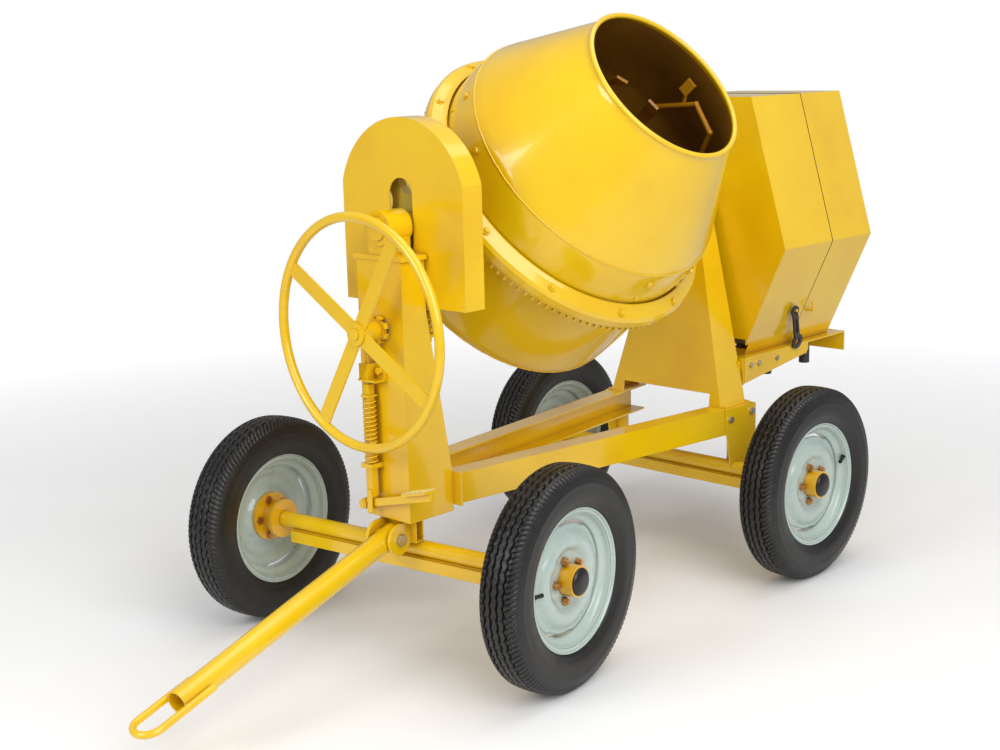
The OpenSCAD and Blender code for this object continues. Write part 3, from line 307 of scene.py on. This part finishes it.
def lathe(name, profile, n, mat, body, M=None, closed=True, inner=None, **kw):
    """A profile of (r, z) turned round Z. inner is (first segment, last segment, material) for its inside."""
    p = np.asarray(profile, float)
    o = mesh(name, spin(p, n), grid_faces(n, len(p), True, closed), mat, body, M, **kw)
    if inner:
        o.data.materials.append(inner[2])
        m = len(p) if closed else len(p) - 1
        seg = np.arange(n * m) % m
        o.data.polygons.foreach_set("material_index", ((seg >= inner[0]) & (seg <= inner[1])).astype(int))
    if (p[:, 0] < 1e-9).any():
        weld(o.data)
    return o


def tube(name, path, r, mat, body, M=None, sides=12, closed=False, **kw):
    """Round bar swept along a path, with closed ends."""
    p = np.asarray(path, float)
    t = np.gradient(p, axis=0) if not closed else (np.roll(p, -1, 0) - np.roll(p, 1, 0))
    t /= np.linalg.norm(t, axis=1)[:, None]
    up = np.array([0.0, 0, 1]) if abs(t[0, 2]) < 0.9 else np.array([1.0, 0, 0])
    u = up - t[0] * (up @ t[0])
    rings = []
    a = np.linspace(0, 2 * math.pi, sides, endpoint=False)
    for k in range(len(p)):
        u = u - t[k] * (u @ t[k])
        u /= np.linalg.norm(u)
        w = np.cross(t[k], u)
        rad = r[k] if hasattr(r, "__len__") else r
        rings.append(p[k] + rad * (np.cos(a)[:, None] * u + np.sin(a)[:, None] * w))
    v = np.concatenate(rings)
    f = [list(q) for q in grid_faces(len(p), sides, closed, True)]
    if not closed:
        f += [list(range(sides))[::-1], [(len(p) - 1) * sides + k for k in range(sides)]]
    return mesh(name, v, f, mat, body, M, **kw)


def hex_head(r, h, chamfer=0.12):
    """Profile-turned hexagon with a chamfered top: points and faces."""
    v, f = [], []
    for z, s in ((0, 1.0), (h * 0.8, 1.0), (h, 1 - chamfer)):
        for k in range(6):
            a = math.radians(60 * k)
            v.append((r * s * math.cos(a), r * s * math.sin(a), z))
    for lvl in (0, 1):
        for k in range(6):
            f.append([lvl * 6 + k, lvl * 6 + (k + 1) % 6, lvl * 6 + 6 + (k + 1) % 6, lvl * 6 + 6 + k])
    f.append([12, 13, 14, 15, 16, 17])
    f.append([5, 4, 3, 2, 1, 0])
    return v, f


def disc_part(r, z0, z1, n=24):
    v, f = [], []
    for z in (z0, z1):
        for k in range(n):
            a = 2 * math.pi * k / n
            v.append((r * math.cos(a), r * math.sin(a), z))
    f += [[k, (k + 1) % n, n + (k + 1) % n, n + k] for k in range(n)]
    f += [list(range(n))[::-1], [n + k for k in range(n)]]
    return v, f


def bolts(name, places, r, h, mat, body, washer=True, slot="zinc_steel"):
    """Hexagon bolts with washers. Each place is a 4x4 matrix whose Z axis is the bolt's."""
    V, F = [], []
    for M in places:
        for part in ([disc_part(r * 1.5, 0, 1.6)] if washer else []) + [hex_head(r, h)]:
            v, f = part
            v = np.asarray(v, float) + (0, 0, 1.6 if washer and len(v) == 18 else 0)
            v = v @ M[:3, :3].T + M[:3, 3] / MM
            base = len(V)
            V += v.tolist()
            F += [[base + q for q in g] for g in f]
    return mesh(name, V, F, mat, body, slot=slot, sharp=30)


# ---------------------------------------------------------------- wheels

TYRE_R, AXLE_Z, HALF_TRACK = 284.5, 283.5, 491.0
FRONT_X, REAR_X, STEER = 450.0, -703.0, 7.3
WHEELS = ("front_left", "front_right", "rear_left", "rear_right")
VALVE_ANGLE = {"front_left": -1.0, "rear_left": 197.0, "front_right": 40.0, "rear_right": 200.0}
TREAD_PITCH = 27.9


def wheel_matrix(which):
    side = 1 if "left" in which else -1
    M = shift(0, side * HALF_TRACK, AXLE_Z) @ rot("X", -90 * side)
    if "front" in which:
        return shift(FRONT_X, 0, 0) @ rot("Z", STEER) @ M
    return shift(REAR_X, 0, 0) @ M


def tyre_profile():
    """Points (r, z) of the outside from bead to bead over the crown, and of the inside."""
    half = [(168.5, 37.4), (182.6, 38.2), (182.8, 43.6), (185.5, 46.4), (189, 47.6), (193, 50.6),
            (195.5, 50.8), (198, 52.6), (206, 55.2), (216, 57.6), (226, 57.8), (236, 58.0), (241, 58.4),
            (243, 58.4), (245, 57.8), (252, 56.4), (258, 54.6)]
    crown = [(262, 53.2), (267, 51.2), (271.5, 48.8), (275, 46.2), (277.8, 43.4), (279.8, 40.6),
             (281.0, 38.0)]
    flat = [(284.3 - 2.6 * (z / 38.0) ** 2, z) for z in np.arange(36.0, -0.1, -1.5)]
    side = half + crown + flat
    out = side + [(r, -z) for r, z in side[::-1][1:]]
    inner = [(176, -22), (196, -33), (232, -47), (258, -42), (268, -26), (269, 0), (268, 26), (258, 42),
             (232, 47), (196, 33), (176, 22)]
    return np.array(out), np.array(inner)


def tyre(which):
    """Tyre with four wavy grooves, short sipes between them and cut shoulder lugs."""
    out, inner = tyre_profile()
    n = 640
    a = np.linspace(0, 2 * math.pi, n, endpoint=False)[:, None]
    r = np.repeat(out[None, :, 0], n, 0)
    z = np.repeat(out[None, :, 1], n, 0)
    arc = a * TYRE_R
    groove = np.zeros_like(r)
    for gz, amp, ph in ((9.5, 1.7, 0.0), (-9.5, 1.7, 1.6), (27.0, 2.2, 0.8), (-27.0, 2.2, 2.4)):
        wave = gz + amp * np.sin(arc * 2 * math.pi / TREAD_PITCH + ph)
        groove = np.maximum(groove, np.clip((3.0 - np.abs(z - wave)) / 1.4, 0, 1) * 7.0)
    az = np.abs(z)
    lug = np.mod(arc + (az - 30) * 0.55 + 9 * (z > 0), 13.93) / 13.93
    cut = np.clip((0.17 - np.abs(lug - 0.5)) / 0.07, 0, 1)
    side_w = np.clip((az - 30.5) / 2.0, 0, 1) * np.clip((r - 259) / 6.0, 0, 1)
    groove = np.maximum(groove, cut * side_w * 4.2)
    rib = np.mod(arc + 4 * np.sin(z * 0.3), TREAD_PITCH) / TREAD_PITCH
    sipe = np.clip((0.045 - np.abs(rib - 0.5)) / 0.03, 0, 1) * np.clip((26.0 - az) / 2.0, 0, 1)
    groove = np.maximum(groove, sipe * 2.4)
    r = r - groove
    outer = np.stack([np.cos(a) * r, np.sin(a) * r, z], -1)
    ir = np.repeat(inner[None, :, 0], n, 0)
    iz = np.repeat(inner[None, :, 1], n, 0)
    inside = np.stack([np.cos(a) * ir, np.sin(a) * ir, iz], -1)
    v = np.concatenate([outer, inside], 1)
    m = v.shape[1]
    M = wheel_matrix(which)
    v = v.reshape(-1, 3) @ M[:3, :3].T + M[:3, 3] / MM
    v[:, 2] = np.maximum(v[:, 2], 0.0)
    mesh("tyre_tread_" + which, v, grid_faces(n, m, True, True), TYRE, "wheel_" + which,
         replaces=("tyre_" + which,), slot="tyre_rubber", sharp=40)


def rim(which):
    body, M = "wheel_" + which, wheel_matrix(which)
    k = 43.0  # half the rim's width
    lip = [(181.6, k - 3.4), (182.0, k - 1.4), (181.0, k), (178.8, k), (177.0, k - 1.6), (175.2, k - 5.2),
           (169.5, k - 7.4), (165.6, k - 9.0), (163.8, 26), (161.5, 22), (153, 17.5), (148.5, 15.5),
           (146.4, 12)]
    well = [(146.2, 8), (146.2, -8)]
    back = [(r, -z) for r, z in lip[::-1]]
    outside = [(170, -k + 5.2), (168, -k + 6), (167.4, -23), (150.6, -14), (150.2, 0), (150.6, 14),
               (167.4, 23), (168, k - 6), (170, k - 5.2)]
    lathe("rim_barrel_" + which, lip + well + back + outside, 192, MINT, body, M, replaces=("rim_" + which,),
          slot="rim_paint", sharp=40)
    # The disc: its edge meets the barrel at four welds and stands clear between them.
    n = 240
    a = np.linspace(0, 2 * math.pi, n, endpoint=False)[:, None]
    face = smooth([(145.6, 9), (140, 12.5), (132, 12.8), (122, 18), (112, 25.5), (100, 28.0), (88, 27.0),
                   (78, 21.5), (72, 17.2), (66, 16.2), (41, 16.0)])
    r = np.repeat(face[None, :, 0], n, 0)
    z = np.repeat(face[None, :, 1], n, 0)
    gap = np.clip((np.cos(4 * a + 0.9) + 0.25) / 0.5, 0, 1)
    w = np.clip((r - 118) / 27.0, 0, 1)
    r = r - w * gap * 7.0
    for i in range(5):
        c = math.radians(i * 72 + 36)
        dx, dy = r * np.cos(a) - 84 * math.cos(c), r * np.sin(a) - 84 * math.sin(c)
        z = z + 3.2 * np.exp(-(dx * dx + dy * dy) / (2 * 9.0 ** 2))
    top = np.stack([np.cos(a) * r, np.sin(a) * r, z], -1)
    bot = np.stack([np.cos(a) * r, np.sin(a) * r, z - 4.0], -1)[:, ::-1]
    v = np.concatenate([top, bot], 1)
    mesh("rim_disc_" + which, v.reshape(-1, 3), grid_faces(n, v.shape[1], True, True), MINT, body, M,
         slot="rim_paint", sharp=50)
    # Valve: rubber stem and cap.
    V = rot("Z", VALVE_ANGLE[which])
    path = [(166, 0, 27), (161, 0, 28.5), (155, 0, 30), (146, 0, 32), (136, 0, 35), (133, 0, 35.8)]
    tube("valve_" + which, path, [8.0, 7.4, 5.8, 5.0, 6.2, 5.0], CAP, body, M @ V, sides=16,
         slot="cap_plastic")


def cap(which):
    """Domed plastic cap on the hub's end."""
    dome = smooth([(0, 66.8), (14, 66.4), (25, 64.2), (32, 60.0), (34.8, 56.5), (35, 54.1)], 2)
    lathe("hub_cap_dome_" + which, [tuple(p) for p in dome] + [(0, 54.1)], 64, CAP, "wheel_" + which,
          wheel_matrix(which), closed=False, replaces=("hub_cap_" + which,), slot="cap_plastic", sharp=50)


for w in WHEELS:
    tyre(w)
    rim(w)
    cap(w)

# ---------------------------------------------------------------- drum

DRUM = shift(-144, 0, 1125) @ rot("X", -50.5)
outer_bowl = smooth([(0.0, -292), (150, -292), (262, -286), (330, -277), (374, -264), (394, -250),
                     (401, -232), (402, -205), (402, -150), (402, 0), (402, 93)])
inner_bowl = smooth([(397, 93), (397, 0), (397, -150), (397, -205), (395, -230), (389, -246), (371, -258),
                     (329, -271), (261, -280), (150, -287), (0.0, -287)])
spindle = [(0.0, -435), (25, -435), (25, -318), (90, -314), (95, -309), (95, -294), (99, -292)]
outside = spindle + [tuple(p) for p in outer_bowl if p[0] > 99]
profile = outside + [tuple(p) for p in inner_bowl]
lathe("drum_bowl_shell", profile, 256, YELLOW, "drum", DRUM, closed=False,
      inner=(len(outside), len(profile), SHADED_INSIDE), replaces=("drum_bowl",), slot="yellow_paint", sharp=30)


def bead(name, r, s, size, M, mat, bdy):
    """A weld bead round the drum, rippled along its length."""
    n = 720
    path, rad = [], []
    for k in range(n):
        a = 2 * math.pi * k / n
        wob = 0.35 * math.sin(47 * a) + 0.25 * math.sin(83 * a + 1)
        path.append((r * math.cos(a), r * math.sin(a), s + wob))
        rad.append(size * (1 + 0.16 * math.sin(240 * a)))
    tube(name, path, rad, mat, bdy, M, sides=8, closed=True, slot="yellow_paint", sharp=0)


bead("drum_weld_lower", 394.5, -247, 3.2, DRUM, YELLOW, "drum")
cone = smooth([(402, 93), (402, 122), (400.5, 160), (395.5, 208), (391, 228), (384, 244)])
cone = [tuple(p) for p in cone] + [(310, 375), (240.5, 498), (236.0, 507)]
mouth_bead = np.radians(np.arange(-50, 236, 15))
lip = [(231 + 6.9 * math.cos(q), 520 + 6.9 * math.sin(q)) for q in mouth_bead]
inner_cone = [(231.5, 507), (235.5, 498), (305, 375), (379, 242), (386, 226), (390.5, 207), (395.5, 160),
              (397, 122), (397, 93)]
profile = cone + lip + inner_cone
lathe("drum_cone_shell", profile, 256, YELLOW, "drum", DRUM,
      inner=(len(cone) + len(lip), len(profile) - 2, SHADED_INSIDE), replaces=("drum_cone",), slot="yellow_paint",
      sharp=30)
bead("drum_weld_shoulder", 392.6, 222, 2.6, DRUM, YELLOW, "drum")


def on_drum(r, ang, s, out_deg=0.0):
    """Matrix on the drum whose Z axis points outward, tipped towards the mouth by out_deg."""
    return DRUM @ rot("Z", ang) @ shift(r, 0, s) @ rot("Y", 90 - out_deg)


paddle_bolts = [on_drum(397.5, a, s, 4) for a in (-159, -131, -39, -11, 81, 109) for s in (130, 190)]
bolts("drum_bolts", paddle_bolts, 9, 6, THIN_YELLOW, "drum", slot="yellow_paint")
guard_bolts = [DRUM @ rot("Z", a) @ shift(429, 0, 101.5) @ rot("Y", 12) for a in range(15, 375, 30)]
bolts("ring_guard_bolts", guard_bolts, 8, 6, THIN_YELLOW, "yoke", slot="yellow_paint")

# ---------------------------------------------------------------- bearing foot, pedal tread, painted shade line in the cover seam

slabs("bearing_foot", [((427.0, -92, 1045.3), (514, 92, 1057.5))], YELLOW, "frame", slot="yellow_paint",
      sharp=20)
PEDAL = shift(0, -66, 404) @ rot("X", 14)
ribs = [((510.6, 173.7 + i * 11, 14.6), (553.4, 180.3 + i * 11, 18.6)) for i in range(8)]
slabs("pedal_tread", ribs, TREAD, "lock_pedal", PEDAL, 0.9, slot="yellow_paint", sharp=20)
# A dark line along the seam between the two cover halves: painted shade standing for the shadowed gap.
SEAM_X = -1101.75
corners = [(-165, 606), (-322, 945), (-195, 1397), (195, 1397), (322, 945), (165, 606)]
line = []
for (y0, h0), (y1, h1) in zip(corners[:-1], corners[1:]):
    line += [(SEAM_X, y0 + (y1 - y0) * k / 12, h0 + (h1 - h0) * k / 12) for k in range(12)]
tube("cover_seam_painted_shade", line + [(SEAM_X, 165, 606)], 1.3, SEAM_SHADE, "frame", sides=8, slot="yellow_paint")

# ---------------------------------------------------------------- lock spring

BAR_X, BAR_Y, COIL_R = 531, -33, 16.5
turns, z0, z1 = 14, 522.2, 691.8
t = np.linspace(0, 1, turns * 28)
turn = 2 * math.pi * turns * t
height = z0 + (z1 - z0) * (t + 0.012 * np.sin(2 * math.pi * t))
path = np.stack([BAR_X + COIL_R * np.cos(turn), BAR_Y + COIL_R * np.sin(turn), height], 1)
spring = tube("lock_spring_coil", path, 2.1, THIN_YELLOW, "lock_bar", replaces=("lock_spring",),
              slot="yellow_paint")
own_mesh(spring)

# ---------------------------------------------------------------- floor, light, camera

FLOOR, FLOOR_Z = 5.0, -0.0005
d = bpy.data.meshes.new("floor")
d.from_pydata([(x * FLOOR, y * FLOOR, FLOOR_Z) for x, y in ((-1, -1), (1, -1), (1, 1), (-1, 1))], [],
              [(0, 1, 2, 3)])
floor = bpy.data.objects.new("floor", d)
bpy.context.scene.collection.objects.link(floor)
fm = Mat("floor_paper")
paper = fm.ramp(fm.noise(2.0, 3.0), [(0.2, (0.90, 0.90, 0.90)), (0.8, (0.94, 0.94, 0.94))])
fm.link(paper, fm.b.inputs["Base Color"])
fm.b.inputs["Roughness"].default_value = 0.9
far = fm.node("ShaderNodeVectorMath", operation="LENGTH")
fm.link(fm.co, far.inputs[0])
fade = fm.node("ShaderNodeMapRange")
fade.inputs["From Min"].default_value = 1.2
fade.inputs["From Max"].default_value = 4.2
fm.link(far.outputs["Value"], fade.inputs["Value"])
blend = fm.t.nodes.new("ShaderNodeMixShader")
fm.link(fade.outputs[0], blend.inputs[0])
fm.link(fm.b.outputs[0], blend.inputs[1])
fm.link(fm.t.nodes.new("ShaderNodeBsdfTransparent").outputs[0], blend.inputs[2])
fm.link(blend.outputs[0], fm.out.inputs[0])
d.materials.append(fm.m)

# The studio lights the object at AMBIENT and looks white behind it.
AMBIENT = 0.43
world = bpy.data.worlds.new("studio")
bpy.context.scene.world = world
world.use_nodes = True
wt = world.node_tree
wt.nodes["Background"].inputs[0].default_value = (1, 1, 1, 1)
seen = wt.nodes.new("ShaderNodeLightPath")
level = wt.nodes.new("ShaderNodeMapRange")
level.inputs["To Min"].default_value = AMBIENT
level.inputs["To Max"].default_value = 1.0
wt.links.new(seen.outputs["Is Camera Ray"], level.inputs["Value"])
wt.links.new(level.outputs[0], wt.nodes["Background"].inputs[1])
bpy.context.scene.view_settings.view_transform = "Standard"


def area(name, place, target, size, power):
    """Rectangular lamp in metres and watts, turned to its target."""
    l = bpy.data.lights.new(name, "AREA")
    l.shape = "RECTANGLE"
    l.size, l.size_y = size
    l.energy = power
    o = bpy.data.objects.new(name, l)
    o.location = place
    o.rotation_euler = (Vector(target) - Vector(place)).to_track_quat("-Z", "Y").to_euler()
    bpy.context.scene.collection.objects.link(o)


area("key", (1.6, 4.6, 3.6), (0, 0, 0.8), (4.2, 4.2), 200)
area("top", (-0.5, 0.8, 4.6), (0, 0, 0.8), (4.0, 3.4), 66)
area("side", (4.4, -0.6, 2.4), (0, 0, 0.8), (1.8, 2.2), 64)

CAM_AT = Vector((3.0832, 2.8776, 1.5581))
az, el, roll = math.radians(133.762), math.radians(11.953), math.radians(-1.504)
back = Vector((math.sin(az) * math.cos(el), -math.cos(az) * math.cos(el), math.sin(el)))
fw = -back
right = fw.cross(Vector((0, 0, 1))).normalized()
up = right.cross(fw)
r2 = math.cos(roll) * right + math.sin(roll) * up
u2 = -math.sin(roll) * right + math.cos(roll) * up
cam = bpy.data.cameras.new("camera")
cam.sensor_width = 36
cam.lens = 55.546848
co = bpy.data.objects.new("camera", cam)
co.matrix_world = Matrix(((r2.x, u2.x, back.x, CAM_AT.x), (r2.y, u2.y, back.y, CAM_AT.y),
                          (r2.z, u2.z, back.z, CAM_AT.z), (0, 0, 0, 1)))
bpy.context.scene.collection.objects.link(co)
bpy.context.scene.camera = co
